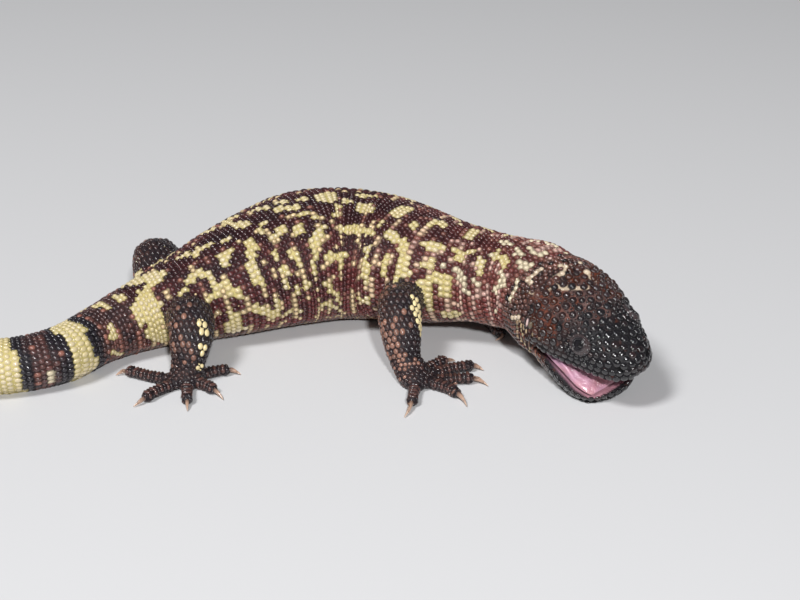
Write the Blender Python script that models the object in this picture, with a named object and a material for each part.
"""A young Rio Fuerte beaded lizard as a still, life-size model.

The animal lies on its belly with the trunk bowed, the head turned to one side and the
jaws parted. Each length of the body is a loft along a smooth path. The bead scales are
raised in the surface of the loft: every bead is the peak of a six-sided cell, the cells
stand in rings round the body, and each ring is set half a cell on from the last.
Lengths are in millimetres up to the point where a mesh is made, and a mesh is in metres.
+X runs towards the head, +Y to the animal's left, +Z up, and the floor is at zero.
"""

import math

import bmesh
import bpy
import numpy as np

MM = 0.001
UP = np.array([0.0, 0.0, 1.0])
GAP = 0.3                    # between faces that meet
FLOOR_SINK = 1.6             # how deep the belly's round would reach, pressed to a flat

# Bead scales: one cell is this long, and this many cells stand round each form.
TRUNK_ROW = 4.4
TAIL_ROW = 4.1
HEAD_ROW = 3.4
LIMB_ROW = 3.8
TRUNK_COLUMNS = (20, 4)      # over the back and flanks, across the belly
NECK_COLUMNS = (18, 4)
TAIL_COLUMNS = (11, 3)
HEAD_COLUMNS = (15, 4)
MUZZLE_COLUMNS = (15, 3)
JAW_COLUMNS = (9, 3)
LIMB_COLUMNS = (6, 2)
BEAD_RISE = 0.62
HEAD_BEAD_RISE = 0.72
LIMB_BEAD_RISE = 0.5
JAW_BEAD_RISE = 0.4
BACK_SPAN = math.radians(250)
BELLY_SINE = -0.62           # below this sine of the angle round the body the skin is flat
BELLY_FADE = 0.3             # the beads grow to full height over this much of the sine
SQUARENESS = 0.9             # one is a true ellipse, less is fuller at the corners
SMOOTH = 1.0

# Path of the body from the tip of the tail to the nape: place on the floor plan, height
# of the middle, half the breadth, and the reach above and below the middle.
TAIL_LINE = [
    (-137.0, 3.5, 1.5, 1.3, 1.3, 1.3),
    (-134.0, 0.8, 2.3, 2.3, 2.2, 2.2),
    (-126.0, -5.5, 3.6, 3.9, 3.7, 3.8),
    (-111.0, -14.5, 5.4, 5.9, 5.5, 5.7),
    (-95.0, -21.0, 6.8, 7.4, 6.9, 7.2),
    (-78.0, -25.0, 7.5, 8.2, 7.6, 7.9),
    (-63.0, -26.0, 7.7, 8.4, 7.8, 8.1),
    (-51.7, -24.2, 7.7, 8.4, 7.7, 8.1),
    (-40.5, -19.1, 8.0, 8.7, 8.0, 8.4),
    (-30.4, -6.8, 8.4, 9.1, 8.4, 8.8),
    (-19.1, 1.8, 10.1, 11.2, 10.1, 10.7),
]
TRUNK_LINE = [
    (-7.0, 7.4, 12.6, 14.6, 12.6, 13.4),
    (5.2, 13.2, 15.3, 18.5, 15.3, 16.5),
    (17.4, 20.0, 17.3, 21.6, 17.3, 17.3 + FLOOR_SINK),
    (30.0, 25.5, 19.1, 23.9, 19.1, 19.1 + FLOOR_SINK),
    (42.8, 28.6, 19.1, 23.9, 19.1, 19.1 + FLOOR_SINK),
    (55.8, 26.7, 18.4, 22.4, 18.4, 18.4 + FLOOR_SINK),
    (68.5, 18.7, 18.1, 20.4, 17.1, 17.1),
    (75.0, 14.4, 18.5, 18.7, 16.0, 16.0),
    (81.0, 11.6, 18.7, 16.9, 14.7, 14.7),
    (87.2, 9.0, 18.9, 15.6, 13.8, 13.7),
    (93.2, 5.8, 19.3, 14.8, 12.7, 14.6),
    (98.6, 2.6, 20.0, 14.8, 12.0, 15.2),
]
NAPE_ROLL_FROM = 75.0        # the neck starts to turn on its axis at this X
NAPE_RUN = 3.5               # the last of the neck runs straight on from the head

# Where the body is parted, along its path from the tip of the tail.
TAIL_TIP_CUT = 46.0
TAIL_MID_CUT = 92.0
VENT_CUT = 132.0
WAIST_CUT = 203.0
THROAT_CUT = 266.0

# The head, in its own frame: distance back from the tip of the snout, half breadth and
# rise above the line of the lips.
SNOUT = np.array([130.5, -44.0, 11.5])
HEAD_TURN = -57.0
HEAD_DIP = -10.0
HEAD_ROLL = -16.0
MUZZLE = [
    (0.0, 2.6, 2.6),
    (1.0, 4.7, 4.5),
    (3.0, 7.0, 6.6),
    (6.0, 8.8, 8.2),
    (10.0, 10.5, 9.9),
    (16.0, 12.3, 12.0),
    (24.0, 14.6, 13.9),
    (30.0, 15.5, 14.8),
    (35.0, 15.4, 15.0),
]
SKULL_BACK = [
    (35.0, 16.0, 15.1, 13.2),
    (39.0, 15.9, 14.9, 14.2),
    (43.0, 15.3, 13.8, 14.6),
    (46.5, 14.8, 12.6, 14.4),
]
HEAD_LENGTH = 46.5
JAW_ROOT = 35.0
MUZZLE_SUNK = 2.0            # how far the muzzle's root runs into the back of the skull
MUZZLE_TUCK = 1.5            # and how much narrower it is there
MUZZLE_SQUARENESS = 0.85
MUZZLE_BUNCH = 1.35          # rings stand closer towards the tip of the snout

# The lower jaw hangs open, and swings a little to the animal's right.
JAW_TOP_BACK = (34.7, 0.0, -1.4)
JAW_TOP_TIP = (6.5, 5.6, -8.6)
JAW = [
    (0.0, 14.6, 12.6),
    (0.25, 14.0, 11.2),
    (0.5, 13.0, 9.2),
    (0.75, 11.4, 6.8),
    (0.9, 9.2, 5.0),
    (0.98, 5.8, 3.6),
    (1.0, 3.4, 2.6),
]
JAW_BEND = 0.3               # share of the jaw over which it turns from the skull's line
JAW_BUNCH = 1.3

# Pink tissue at the root of the open jaws, from the corner of the mouth forwards.
LINING_BACK = 34.4
LINING_FRONT = 8.5
LINING_ROWS = 9
LINING_SIDES = 12
LINING_SQUARENESS = 0.6
LINING_INSET = 1.5           # behind the edges of the lips
LINING_GAP = 0.4             # from the jaw below and the palate above
LINING_THIN = 0.9            # its thickness at the front, on the floor of the mouth
LINING_FLAT = 1.0            # this much of its front is flat, and over the next part it rises
LINING_SLOPE = 12.0
LINING_CURVE = 0.7

EYE_BACK = 14.6
EYE_ANGLE = math.radians(40.5)
EYE_RADIUS = 1.9
EYE_DEPTH = 1.15             # the eye's middle lies this far under the skin
LID_RADIUS = 2.05
LID_THICK = 0.62
LID_LIFT = 0.45
EAR_BACK = 33.8
EAR_ANGLE = math.radians(23.5)
EAR_SIZE = (0.8, 2.3, 1.4)   # half width, half height and half depth of the slit
NOSTRIL_BACK = 2.6
NOSTRIL_ANGLE = math.radians(38)
NOSTRIL_RADIUS = 0.6

# Limbs: the way across each, and its line from inside the trunk to the wrist or ankle, each a
# place with its half breadth and half depth. Up to the stub's share of its length a limb is
# one with the trunk, and at the elbow's share it is parted again.
LIMBS = {
    "foreleg_right": {
        "side": (1.0, 0.1, 0.0), "stub": 0.43, "elbow": 0.7,
        "line": [(64.5, 10.0, 14.5, 7.2, 6.6), (63.0, 1.0, 15.8, 6.9, 6.4),
                 (62.0, -8.0, 16.8, 6.6, 6.0), (62.0, -14.0, 14.4, 6.3, 5.6),
                 (62.4, -18.5, 10.4, 5.6, 4.8), (63.0, -21.6, 6.6, 4.7, 3.9)],
    },
    "foreleg_left": {
        "side": (0.45, -0.45, 0.77), "stub": 0.43, "elbow": 0.78,
        "line": [(76.0, 20.0, 13.5, 6.6, 6.2), (82.5, 28.0, 14.3, 6.4, 5.8),
                 (89.0, 33.5, 13.6, 5.9, 5.2), (93.2, 33.2, 11.0, 5.3, 4.5),
                 (94.2, 28.8, 8.2, 4.8, 4.0), (93.4, 24.6, 6.0, 4.3, 3.5)],
    },
    "hindleg_right": {
        "side": (1.0, 0.05, 0.0), "stub": 0.47, "elbow": 0.72,
        "line": [(-5.5, 6.0, 11.5, 7.6, 7.0), (-3.5, -3.0, 13.4, 7.3, 6.8),
                 (-1.6, -10.8, 14.6, 7.0, 6.3), (-1.0, -16.0, 12.8, 6.6, 5.8),
                 (-1.3, -19.4, 9.6, 5.9, 5.1), (-1.8, -21.6, 6.6, 5.1, 4.3)],
    },
    "hindleg_left": {
        "side": (-1.0, 0.05, 0.0), "stub": 0.5, "elbow": 0.7,
        "line": [(-13.0, 6.0, 11.5, 7.6, 7.0), (-15.0, 16.0, 15.0, 7.3, 6.8),
                 (-16.5, 25.0, 18.6, 7.2, 6.6), (-16.2, 32.0, 16.4, 6.6, 5.9),
                 (-15.0, 36.0, 11.6, 5.8, 5.0), (-13.8, 38.4, 7.0, 4.9, 4.0)],
    },
}

# Feet: the middle of the palm and half its breadth, and for each digit the heading of its
# end, its reach from the middle of the palm, its curl, and its claw's turn and length.
FEET = {
    "foreleg_right": {
        "palm": (66.5, -26.5), "half": 5.2,
        "digits": [(-96.0, 13.6, 0.0, -20.0, 7.0), (-36.0, 14.8, -18.0, -26.0, 6.0),
                   (2.0, 16.7, 6.0, -56.0, 5.4), (27.0, 19.0, -14.0, -50.0, 3.6),
                   (53.0, 15.0, -20.0, -7.0, 3.6)],
    },
    "foreleg_left": {
        "palm": (91.6, 16.0), "half": 4.6,
        "digits": [(-79.0, 13.0, 34.0, -120.0, 4.0), (-44.0, 14.0, -8.0, -15.0, 4.5),
                   (-16.0, 15.0, 0.0, -10.0, 4.5), (12.0, 15.0, 6.0, 10.0, 4.5),
                   (40.0, 12.5, 10.0, 10.0, 4.5)],
    },
    "hindleg_right": {
        "palm": (-2.2, -24.0), "half": 5.2,
        "digits": [(163.0, 19.3, -18.0, 55.0, 3.8), (-135.0, 15.8, 12.0, -14.0, 4.2),
                   (-84.0, 13.0, 0.0, 0.0, 4.0), (-38.0, 11.0, -8.0, -14.0, 4.8),
                   (25.0, 13.0, -16.0, -38.0, 3.8)],
    },
    "hindleg_left": {
        "palm": (-11.0, 41.0), "half": 5.2,
        "digits": [(2.0, 12.0, -10.0, -20.0, 4.0), (38.0, 14.0, -8.0, -10.0, 4.0),
                   (72.0, 16.0, 0.0, 0.0, 4.0), (106.0, 17.0, 8.0, 10.0, 4.0),
                   (146.0, 12.5, 12.0, 20.0, 4.0)],
    },
}
PALM_HEIGHT = 2.2
PALM_DEPTH = 2.4
PAD_DEPTH = 3.2
PALM_SIDES = 10
PALM_SHARES = (0.35, 0.7, 1.0)
PALM_DROP = 0.4              # how much the last rings lean towards the floor

# Along a digit: share of its reach, half thickness, and how far it is arched off the floor.
DIGIT = [
    (0.12, 1.75, 0.0),
    (0.4, 1.63, 0.0),
    (0.7, 1.49, 0.52),
    (1.0, 1.2, 0.65),
]
DIGIT_SEAT = 0.9             # a digit's middle stands this share of its half thickness up
DIGIT_PAD = 0.3              # its underside is this much fuller
DIGIT_SIDES = 7
DIGIT_RINGS = 5
CLAW_ROOT = 0.95
CLAW_POINT = 0.14
CLAW_NARROW = 0.8            # a claw is this much narrower than it is deep
CLAW_TAPER = 0.8
CLAW_DROP = 1.4
CLAW_SIDES = 6
CLAW_SHARES = (0.35, 0.7, 1.0)
CLAW_TIP_HEIGHT = 0.35

BODY_COLOUR = (0.07, 0.035, 0.03)
HEAD_COLOUR = (0.03, 0.02, 0.02)
JAW_COLOUR = (0.035, 0.02, 0.02)
LEG_COLOUR = (0.06, 0.035, 0.03)
FOOT_COLOUR = (0.045, 0.03, 0.028)
EYE_COLOUR = (0.01, 0.01, 0.012)
MOUTH_COLOUR = (0.5, 0.22, 0.32)
CLAW_COLOUR = (0.3, 0.22, 0.15)

# From the places above to the model's own frame, whose origin is the middle of the box.
TO_ORIGIN = (1.28, -7.13, 0.0)


def unit(vector):
    """The vector at length one."""
    vector = np.asarray(vector, float)
    return vector / np.linalg.norm(vector)


def turned_axes(turn, dip, roll):
    """Forward, right and up of a frame turned on the floor, dipped and rolled."""
    turn, dip, roll = (math.radians(a) for a in (turn, dip, roll))
    forward = np.array([math.cos(turn) * math.cos(dip), math.sin(turn) * math.cos(dip),
                        math.sin(dip)])
    right = unit(np.cross(forward, UP))
    up = np.cross(right, forward)
    return (forward, math.cos(roll) * right + math.sin(roll) * up,
            -math.sin(roll) * right + math.cos(roll) * up)


HEAD_AXES = turned_axes(HEAD_TURN, HEAD_DIP, HEAD_ROLL)


def in_head(back, right, lift):
    """A place in the head's frame, from the tip of the snout on the line of the lips."""
    forward, side, up = HEAD_AXES
    return SNOUT - forward * back + side * right + up * lift


class Path:
    """Sections along a smooth line: middle, frame, half breadth, rise and fall."""

    def __init__(self, middles, forwards, ups, sizes):
        self.rows = np.hstack([np.array(part, float) for part in (middles, forwards, ups, sizes)])
        steps = np.linalg.norm(np.diff(self.rows[:, :3], axis=0), axis=1)
        self.knots = np.concatenate([[0.0], np.cumsum(steps)])
        self.slopes = np.gradient(self.rows, self.knots, axis=0)
        self.length = self.knots[-1]

    def section(self, along, shift=0.0):
        """The section at a length along the path, moved by a shift along its axis."""
        along = min(max(along, 0.0), self.length)
        i = min(int(np.searchsorted(self.knots, along, side="right")) - 1, len(self.knots) - 2)
        step = self.knots[i + 1] - self.knots[i]
        t = (along - self.knots[i]) / step
        row = ((2 * t**3 - 3 * t**2 + 1) * self.rows[i] + (3 * t**2 - 2 * t**3) * self.rows[i + 1]
               + (t**3 - 2 * t**2 + t) * step * self.slopes[i]
               + (t**3 - t**2) * step * self.slopes[i + 1])
        forward = unit(row[3:6])
        right = unit(np.cross(forward, row[6:9]))
        up = np.cross(right, forward)
        return {"middle": row[:3] + forward * shift, "forward": forward, "right": right,
                "up": up, "half": row[9], "rise": row[10], "fall": row[11]}


def path_by_tangent(points, sizes, side=None, roll=None):
    """A path whose frames follow its own line. A limb's frames keep its side vector."""
    points = np.array(points, float)
    forwards = np.gradient(points, axis=0)
    ups = []
    for i, forward in enumerate(forwards):
        forward = unit(forward)
        right = unit(np.cross(forward, UP)) if side is None else unit(side)
        up = unit(np.cross(right, forward))
        if roll is not None:
            right = np.cross(forward, up)
            angle = math.radians(roll[i])
            up = -math.sin(angle) * right + math.cos(angle) * up
        ups.append(up)
    return Path(points, [unit(f) for f in forwards], ups, sizes)


def section_point(section, angle, square=SQUARENESS, proud=0.0):
    """A point on a section's round, and how far it stands proud of it."""
    c, s = math.cos(angle), math.sin(angle)
    reach = section["rise"] if s >= 0 else section["fall"]
    side = section["half"] * math.copysign(abs(c) ** square, c)
    lift = reach * math.copysign(abs(s) ** square, s)
    out = unit((c / section["half"], s / max(reach, section["half"] / 2)))
    side += proud * out[0]
    lift += proud * out[1]
    return section["middle"] + section["right"] * side + section["up"] * lift


def column_angles(columns):
    """Angles of the half cells round a section: close over the back, wide on the belly."""
    back, belly = columns
    start = (math.pi - BACK_SPAN) / 2
    angles = [start + BACK_SPAN * i / (2 * back) for i in range(2 * back)]
    rest = 2 * math.pi - BACK_SPAN
    angles += [start + BACK_SPAN + rest * i / (2 * belly) for i in range(2 * belly)]
    return angles


def back_and_flank(angle):
    """One over the back and flanks, falling to nothing on the belly."""
    return min(1.0, max(0.0, (math.sin(angle) - BELLY_SINE) / BELLY_FADE))


def all_round(angle):
    """One at every angle."""
    return 1.0


def underside(angle):
    """One below, falling to nothing on the upper side."""
    return min(1.0, max(0.0, -math.sin(angle) / BELLY_FADE))


def beaded_length(path, start, end, columns, row, rise, shifts=(GAP / 2, -GAP / 2), floor=False,
                  cover=back_and_flank, square=SQUARENESS, bunch=1.0, turn=0.0):
    """A closed length of a path whose surface is raised into rings of six-sided beads.

    Every bead is a peak with six low points round it. The low points at both ends lie in
    the flat of the cut, so the ends are plane. The bunch brings rings closer to the end,
    and the turn moves the close columns from the back to another side.
    """
    angles = [angle + turn for angle in column_angles(columns)]
    count = len(angles)
    rows = max(2, round((end - start) / row))
    bm = bmesh.new()

    def place(share, parity, proud, shift=0.0):
        along = start + (end - start) * (1 - (1 - share) ** bunch)
        section = path.section(along, shift)
        ring = {}
        for i in range(parity, count, 2):
            point = section_point(section, angles[i], square, proud * cover(angles[i]))
            if floor:
                point[2] = max(point[2], 0.0)
            ring[i] = bm.verts.new(point * MM)
        return ring

    lows = [(place(0.0, 0, 0.0, shifts[0]), place(0.0, 1, 0.0, shifts[0]))]
    peaks = []
    for k in range(rows):
        parity = k % 2
        peaks.append(place((k + 0.5) / rows, parity, rise))
        if k < rows - 1:
            lows.append((place((k + 0.5 + 1 / 3) / rows, 1 - parity, 0.0),
                         place((k + 0.5 + 2 / 3) / rows, parity, 0.0)))
    last = (rows - 1) % 2
    lows.append((place(1.0, 1 - last, 0.0, shifts[1]), place(1.0, last, 0.0, shifts[1])))
    for k, peak in enumerate(peaks):
        behind_near, behind_far = lows[k]
        ahead_near, ahead_far = lows[k + 1]
        for i, top in peak.items():
            before, after = (i - 1) % count, (i + 1) % count
            around = [ahead_near[after], ahead_far[i], ahead_near[before],
                      behind_far[before], behind_near[i], behind_far[after]]
            for a, b in zip(around, around[1:] + around[:1]):
                bm.faces.new((top, a, b))
    first = {**lows[0][0], **lows[0][1]}
    final = {**lows[-1][0], **lows[-1][1]}
    bm.faces.new([first[i] for i in range(count)])
    bm.faces.new([final[i] for i in reversed(range(count))])
    return bm


def smooth_length(sections, sides, floor=False, square=SMOOTH):
    """A closed loft of plain rings, with flat ends."""
    bm = bmesh.new()
    rings = []
    for section in sections:
        ring = []
        for i in range(sides):
            point = section_point(section, 2 * math.pi * (i + 0.5) / sides, square)
            if floor:
                point[2] = max(point[2], 0.0)
            ring.append(bm.verts.new(point * MM))
        rings.append(ring)
    for low, high in zip(rings, rings[1:]):
        for i in range(sides):
            j = (i + 1) % sides
            bm.faces.new((low[i], low[j], high[j], high[i]))
    bm.faces.new(list(reversed(rings[0])))
    bm.faces.new(rings[-1])
    return bm


def finish_for(name, colour, roughness):
    """A plain material in the photograph's colour."""
    material = bpy.data.materials.new(name)
    material.use_nodes = True
    shader = material.node_tree.nodes["Principled BSDF"]
    shader.inputs["Base Color"].default_value = (*colour, 1.0)
    shader.inputs["Roughness"].default_value = roughness
    shader.inputs["Metallic"].default_value = 0.0
    return material


def add_object(name, bm, collection, colour=None, roughness=0.5):
    """An object from a bmesh, with its faces turned outwards and split to triangles."""
    bmesh.ops.translate(bm, verts=bm.verts, vec=[MM * step for step in TO_ORIGIN])
    bmesh.ops.recalc_face_normals(bm, faces=bm.faces)
    bmesh.ops.triangulate(bm, faces=bm.faces)
    if bm.calc_volume(signed=True) < 0:
        bmesh.ops.reverse_faces(bm, faces=bm.faces)
    mesh = bpy.data.meshes.new(name)
    bm.to_mesh(mesh)
    bm.free()
    item = bpy.data.objects.new(name, mesh)
    if colour is not None:
        mesh.materials.append(finish_for(name, colour, roughness))
    collection.objects.link(item)
    return item


def keep_largest(mesh):
    """Only the largest closed surface stays in the mesh."""
    bm = bmesh.new()
    bm.from_mesh(mesh)
    left = set(bm.faces)
    shells = []
    while left:
        shell = set()
        queue = [left.pop()]
        while queue:
            face = queue.pop()
            shell.add(face)
            for edge in face.edges:
                for other in edge.link_faces:
                    if other in left:
                        left.remove(other)
                        queue.append(other)
        shells.append(shell)
    shells.sort(key=len, reverse=True)
    loose = [face for shell in shells[1:] for face in shell]
    bmesh.ops.delete(bm, geom=loose, context="FACES")
    bmesh.ops.triangulate(bm, faces=bm.faces)
    bm.to_mesh(mesh)
    bm.free()


def combine(target, pieces, operation):
    """The target joined with, or cut by, closed pieces, which are then removed."""
    group = bpy.data.collections.new(target.name + "_pieces")
    for piece in pieces:
        for owner in piece.users_collection:
            owner.objects.unlink(piece)
        group.objects.link(piece)
    change = target.modifiers.new(operation.lower(), "BOOLEAN")
    change.operation = operation
    change.operand_type = "COLLECTION"
    change.collection = group
    change.solver = "MANIFOLD"
    graph = bpy.context.evaluated_depsgraph_get()
    result = bpy.data.meshes.new_from_object(target.evaluated_get(graph))
    target.modifiers.clear()
    old = target.data
    target.data = result
    bpy.data.meshes.remove(old)
    result.name = target.name
    for piece in list(group.objects):
        bpy.data.objects.remove(piece, do_unlink=True)
    bpy.data.collections.remove(group)
    keep_largest(result)
    return target


def spine_path():
    """The body from the tip of the tail to the back of the head."""
    line = TAIL_LINE + TRUNK_LINE
    points = [row[:3] for row in line]
    sizes = [row[3:] for row in line]
    rolls = [HEAD_ROLL * max(0.0, row[0] - NAPE_ROLL_FROM) / (SNOUT[0] - NAPE_ROLL_FROM)
             for row in line]
    nape = in_head(HEAD_LENGTH + NAPE_RUN, 0.0, 0.0)
    join = in_head(HEAD_LENGTH, 0.0, 0.0)
    skull_size = SKULL_BACK[-1][1:]
    points += [tuple(nape), tuple(join)]
    sizes += [skull_size, skull_size]
    rolls += [HEAD_ROLL, HEAD_ROLL]
    path = path_by_tangent(points, sizes, roll=rolls)
    path.rows[-1, 3:9] = (*HEAD_AXES[0], *HEAD_AXES[2])
    path.slopes = np.gradient(path.rows, path.knots, axis=0)
    return path


def limb_path(name):
    """The path of one limb, from inside the trunk to the wrist or ankle."""
    line = LIMBS[name]["line"]
    points = [row[:3] for row in line]
    sizes = [(row[3], row[4], row[4]) for row in line]
    return path_by_tangent(points, sizes, side=LIMBS[name]["side"])


def limb_stub(name, collection):
    """The shoulder or hip that stands out of the trunk, up to the first cut."""
    path = limb_path(name)
    bm = beaded_length(path, 0.0, path.length * LIMBS[name]["stub"], LIMB_COLUMNS, LIMB_ROW,
                       LIMB_BEAD_RISE, shifts=(0.0, -GAP / 2), cover=all_round)
    return add_object(name + "_stub", bm, collection)


def body_nodes(collection):
    """Tail in three lengths, trunk in two with the limbs' roots, and the neck."""
    path = spine_path()
    nodes = [
        ("tail_tip", 0.0, TAIL_TIP_CUT, TAIL_COLUMNS, TAIL_ROW, (0.0, -GAP / 2), ()),
        ("tail_middle", TAIL_TIP_CUT, TAIL_MID_CUT, TAIL_COLUMNS, TAIL_ROW, None, ()),
        ("tail_base", TAIL_MID_CUT, VENT_CUT, TAIL_COLUMNS, TAIL_ROW, None, ()),
        ("torso_rear", VENT_CUT, WAIST_CUT, TRUNK_COLUMNS, TRUNK_ROW, None,
         ("hindleg_right", "hindleg_left")),
        ("torso_front", WAIST_CUT, THROAT_CUT, TRUNK_COLUMNS, TRUNK_ROW, None,
         ("foreleg_right", "foreleg_left")),
        ("neck", THROAT_CUT, path.length, NECK_COLUMNS, TRUNK_ROW, None, ()),
    ]
    for name, start, end, columns, row, shifts, limbs in nodes:
        bm = beaded_length(path, start, end, columns, row, BEAD_RISE,
                           shifts or (GAP / 2, -GAP / 2), floor=True)
        node = add_object(name, bm, collection, BODY_COLOUR, 0.45)
        if limbs:
            combine(node, [limb_stub(limb, collection) for limb in limbs], "UNION")


def muzzle_path():
    """The upper head in front of the jaw's root, flat along the line of the lips."""
    back, half, rise = MUZZLE[-1]
    rows = [(back + MUZZLE_SUNK, half - MUZZLE_TUCK, rise - MUZZLE_TUCK)]
    rows += list(reversed(MUZZLE))
    points = [in_head(back, 0.0, 0.0) for back, half, rise in rows]
    sizes = [(half, rise, 0.0) for back, half, rise in rows]
    return Path(points, [HEAD_AXES[0]] * len(rows), [HEAD_AXES[2]] * len(rows), sizes)


def skull_path():
    """The back of the head, a full round with the jowls."""
    rows = list(reversed(SKULL_BACK))
    points = [in_head(back, 0.0, 0.0) for back, half, rise, fall in rows]
    sizes = [(half, rise, fall) for back, half, rise, fall in rows]
    return Path(points, [HEAD_AXES[0]] * len(rows), [HEAD_AXES[2]] * len(rows), sizes)


def head_place(back, angle, deeper=0.0, side=1):
    """A place on the muzzle's or skull's surface, and the way out of it."""
    rows = MUZZLE if back < JAW_ROOT else SKULL_BACK
    half = np.interp(back, [row[0] for row in rows], [row[1] for row in rows])
    rise = np.interp(back, [row[0] for row in rows], [row[2] for row in rows])
    c, s = math.cos(angle), math.sin(angle)
    out = unit(HEAD_AXES[1] * side * c / half + HEAD_AXES[2] * s / rise)
    spot = in_head(back, side * half * c**0.9, rise * s**0.9)
    return spot - out * deeper, out


def oriented(bm, middle, outward, upward, sizes):
    """A unit shape scaled, then turned so that its Z points outward, then placed."""
    z = unit(outward)
    x = unit(np.cross(upward, z))
    y = np.cross(z, x)
    for vert in bm.verts:
        local = np.array(vert.co) * np.array(sizes)
        vert.co = (middle + x * local[0] + y * local[1] + z * local[2]) * MM
    return bm


def ball(middle, outward, upward, sizes, detail=2):
    """A faceted ball with three half sizes."""
    bm = bmesh.new()
    bmesh.ops.create_icosphere(bm, subdivisions=detail, radius=1.0)
    return oriented(bm, middle, outward, upward, sizes)


def ring_of(middle, outward, upward, radius, thick, turns=14, sides=6):
    """A faceted ring lying across the way out."""
    bm = bmesh.new()
    loops = []
    for i in range(turns):
        around = 2 * math.pi * i / turns
        loop = []
        for j in range(sides):
            tube = 2 * math.pi * j / sides
            reach = radius + thick * math.cos(tube)
            loop.append(bm.verts.new((reach * math.cos(around), reach * math.sin(around),
                                      thick * math.sin(tube))))
        loops.append(loop)
    for i in range(turns):
        here, there = loops[i], loops[(i + 1) % turns]
        for j in range(sides):
            k = (j + 1) % sides
            bm.faces.new((here[j], there[j], there[k], here[k]))
    return oriented(bm, middle, outward, upward, (1.0, 1.0, 1.0))


def head_node(collection):
    """Skull and upper jaw with lids, eye sockets, ear slits and nostrils."""
    skull = skull_path()
    bm = beaded_length(skull, 0.0, skull.length, HEAD_COLUMNS, HEAD_ROW, HEAD_BEAD_RISE,
                       shifts=(GAP / 2, 0.0))
    head = add_object("head", bm, collection, HEAD_COLOUR, 0.35)
    muzzle = muzzle_path()
    front = beaded_length(muzzle, 0.0, muzzle.length, MUZZLE_COLUMNS, HEAD_ROW,
                          HEAD_BEAD_RISE, shifts=(0.0, 0.0), square=MUZZLE_SQUARENESS,
                          bunch=MUZZLE_BUNCH)
    joined = [add_object("muzzle", front, collection)]
    cuts = []
    up = HEAD_AXES[2]
    for side in (1, -1):
        rim, out = head_place(EYE_BACK, EYE_ANGLE, -LID_LIFT, side)
        lid = ring_of(rim, out, up, LID_RADIUS, LID_THICK)
        joined.append(add_object("lid", lid, collection))
        spot, out = head_place(EYE_BACK, EYE_ANGLE, EYE_DEPTH, side)
        reach = EYE_RADIUS + GAP
        cuts.append(add_object("socket", ball(spot, out, up, (reach,) * 3), collection))
        spot, out = head_place(EAR_BACK, EAR_ANGLE, 0.0, side)
        cuts.append(add_object("ear", ball(spot, out, up, EAR_SIZE), collection))
        spot, out = head_place(NOSTRIL_BACK, NOSTRIL_ANGLE, 0.0, side)
        cuts.append(add_object("nostril", ball(spot, out, up, (NOSTRIL_RADIUS,) * 3, 1),
                               collection))
    combine(head, joined, "UNION")
    combine(head, cuts, "DIFFERENCE")


def eye_nodes(collection):
    """Both eyeballs, each set in its socket."""
    for name, side in (("eye_right", 1), ("eye_left", -1)):
        spot, out = head_place(EYE_BACK, EYE_ANGLE, EYE_DEPTH, side)
        bm = ball(spot, out, HEAD_AXES[2], (EYE_RADIUS,) * 3)
        add_object(name, bm, collection, EYE_COLOUR, 0.1)


def jaw_top(share):
    """A place on the middle of the lower jaw's upper side."""
    back = np.array(JAW_TOP_BACK)
    tip = np.array(JAW_TOP_TIP)
    return back + (tip - back) * share


def jaw_axes():
    """Forward and up of the opened lower jaw."""
    forward = unit(in_head(*jaw_top(1.0)) - in_head(*jaw_top(0.0)))
    return forward, unit(np.cross(HEAD_AXES[1], forward))


def jaw_node(collection):
    """The lower jaw, flat on top, bending from the skull's frame to its own."""
    forward, up = jaw_axes()
    points, forwards, ups, sizes = [], [], [], []
    for share, half, fall in JAW:
        bend = min(1.0, share / JAW_BEND)
        points.append(in_head(*jaw_top(share)))
        forwards.append(unit(HEAD_AXES[0] * (1 - bend) + forward * bend))
        ups.append(unit(HEAD_AXES[2] * (1 - bend) + up * bend))
        sizes.append((half, 0.0, fall))
    path = Path(points, forwards, ups, sizes)
    bm = beaded_length(path, 0.0, path.length, JAW_COLUMNS, HEAD_ROW, JAW_BEAD_RISE,
                       shifts=(0.0, 0.0), floor=True, cover=underside, bunch=JAW_BUNCH,
                       turn=math.pi)
    add_object("lower_jaw", bm, collection, JAW_COLOUR, 0.4)


def lining_node(collection):
    """Pink tissue at the root of the jaws, sloping down to the floor of the mouth."""
    backs = np.linspace(LINING_BACK, LINING_FRONT, LINING_ROWS)
    muzzle_back = [row[0] for row in MUZZLE]
    muzzle_half = [row[1] for row in MUZZLE]
    sections = []
    for back in backs:
        share = (JAW_TOP_BACK[0] - back) / (JAW_TOP_BACK[0] - JAW_TOP_TIP[0])
        _, side, jaw_lift = jaw_top(share)
        base = jaw_lift + LINING_GAP
        low_top = base + LINING_THIN
        slope = min(1.0, max(0.0, (back - LINING_FRONT - LINING_FLAT) / LINING_SLOPE))
        top = low_top + (-LINING_GAP - low_top) * slope**LINING_CURVE
        jaw_half = np.interp(share, [row[0] for row in JAW], [row[1] for row in JAW])
        half = min(np.interp(back, muzzle_back, muzzle_half), jaw_half) - LINING_INSET
        sections.append({
            "middle": in_head(back, side, (top + base) / 2),
            "forward": HEAD_AXES[0], "right": HEAD_AXES[1], "up": HEAD_AXES[2],
            "half": half, "rise": (top - base) / 2, "fall": (top - base) / 2})
    bm = smooth_length(sections, LINING_SIDES, square=LINING_SQUARENESS)
    add_object("mouth_lining", bm, collection, MOUTH_COLOUR, 0.3)


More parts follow.
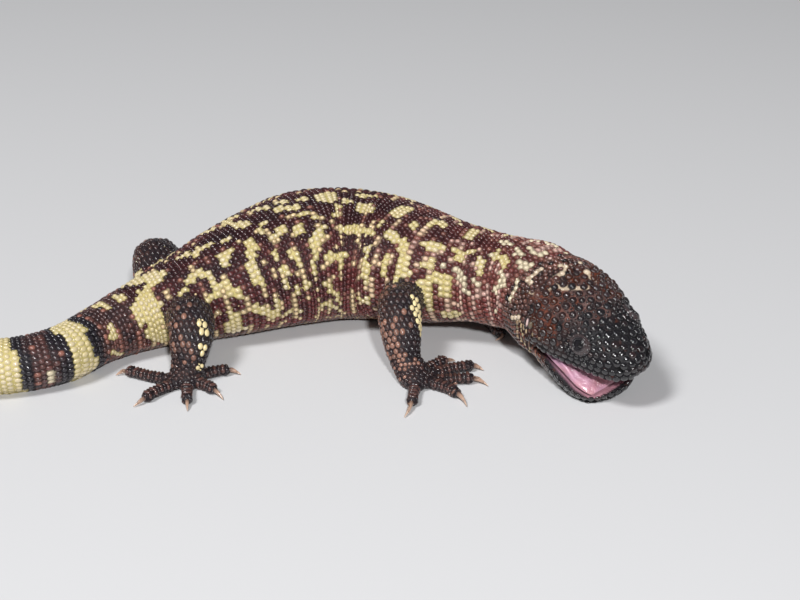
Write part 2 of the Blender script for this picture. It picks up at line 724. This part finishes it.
def digit_line(foot, digit):
    """The middle line of a digit on the floor plan, and the way its tip points."""
    heading, reach, curl = digit[:3]
    x, y = foot["palm"]
    points = []
    for share, _, _ in DIGIT:
        angle = math.radians(heading - curl * (1.0 - share))
        points.append((x + reach * share * math.cos(angle), y + reach * share * math.sin(angle)))
    dx = points[-1][0] - points[-2][0]
    dy = points[-1][1] - points[-2][1]
    return points, math.degrees(math.atan2(dy, dx))


def digit_path(foot, digit):
    """A digit from inside the palm to its flat end."""
    points, tip_heading = digit_line(foot, digit)
    middles = []
    sizes = []
    for (x, y), (_, thick, arch) in zip(points, DIGIT):
        middles.append((x, y, thick * DIGIT_SEAT + arch))
        sizes.append((thick, thick, thick + DIGIT_PAD))
    return path_by_tangent(middles, sizes), tip_heading


def foot_nodes(name, collection):
    """Palm and digits in one body, and five claws."""
    foot = FEET[name]
    limb = limb_path(name)
    wrist = limb.section(limb.length, GAP / 2)
    palm = np.array([*foot["palm"], PALM_HEIGHT])
    sections = [wrist]
    for share in PALM_SHARES:
        middle = wrist["middle"] * (1 - share) + palm * share
        forward = unit(wrist["forward"] * (1 - share) - PALM_DROP * share * UP
                       + unit(palm - wrist["middle"]) * share)
        right = unit(wrist["right"] - forward * np.dot(wrist["right"], forward))
        half = wrist["half"] * (1 - share) + foot["half"] * share
        deep = wrist["rise"] * (1 - share) + PALM_DEPTH * share
        sections.append({"middle": middle, "forward": forward, "right": right,
                         "up": np.cross(right, forward), "half": half, "rise": deep,
                         "fall": deep})
    base = add_object(name + "_foot", smooth_length(sections, PALM_SIDES, floor=True),
                      collection, FOOT_COLOUR, 0.5)
    pad = ball(palm, UP, (0, 1, 0), (foot["half"], foot["half"], PAD_DEPTH))
    for vert in pad.verts:
        vert.co.z = max(vert.co.z, 0.0)
    pieces = [add_object("pad", pad, collection)]
    for number, digit in enumerate(foot["digits"], 1):
        path, tip_heading = digit_path(foot, digit)
        stops = np.linspace(0.0, path.length, DIGIT_RINGS)
        rings = [path.section(stop) for stop in stops]
        bm = smooth_length(rings, DIGIT_SIDES, floor=True)
        pieces.append(add_object("digit", bm, collection))
        claw_node(f"{name}_claw_{number}", path, tip_heading + digit[3], digit[4], collection)
    combine(base, pieces, "UNION")


def claw_node(name, digit, heading, length, collection):
    """A curved claw that leaves the digit's end and bends down to the floor."""
    end = digit.section(digit.length, GAP)
    start = end["middle"]
    out = np.array([math.cos(math.radians(heading)), math.sin(math.radians(heading)), 0.0])
    sections = [dict(end, half=CLAW_ROOT, rise=CLAW_ROOT, fall=CLAW_ROOT)]
    previous = start
    for share in CLAW_SHARES:
        way = unit(end["forward"] * (1 - share) + out * share)
        middle = previous + way * length / len(CLAW_SHARES)
        middle[2] = start[2] - (start[2] - CLAW_TIP_HEIGHT) * share**CLAW_DROP
        size = CLAW_ROOT * (1 - share) ** CLAW_TAPER + CLAW_POINT
        forward = unit(middle - previous)
        right = unit(np.cross(forward, UP))
        sections.append({"middle": middle, "forward": forward, "right": right,
                         "up": np.cross(right, forward), "half": size * CLAW_NARROW,
                         "rise": size, "fall": size})
        previous = middle
    bm = smooth_length(sections, CLAW_SIDES, floor=True)
    add_object(name, bm, collection, CLAW_COLOUR, 0.35)


def limb_nodes(name, collection):
    """Upper and lower leg of one limb."""
    path = limb_path(name)
    cuts = [path.length * share for share in (LIMBS[name]["stub"], LIMBS[name]["elbow"], 1.0)]
    for part, start, end in zip(("upper", "lower"), cuts, cuts[1:]):
        bm = beaded_length(path, start, end, LIMB_COLUMNS, LIMB_ROW, LIMB_BEAD_RISE,
                           cover=all_round)
        add_object(f"{name}_{part}", bm, collection, LEG_COLOUR, 0.5)


def main():
    """Clear the scene and build the animal."""
    for item in list(bpy.data.objects):
        bpy.data.objects.remove(item, do_unlink=True)
    collection = bpy.data.collections.new("beaded_lizard")
    bpy.context.scene.collection.children.link(collection)
    body_nodes(collection)
    head_node(collection)
    eye_nodes(collection)
    jaw_node(collection)
    lining_node(collection)
    for name in LIMBS:
        limb_nodes(name, collection)
        foot_nodes(name, collection)
    bpy.context.view_layer.update()


main()
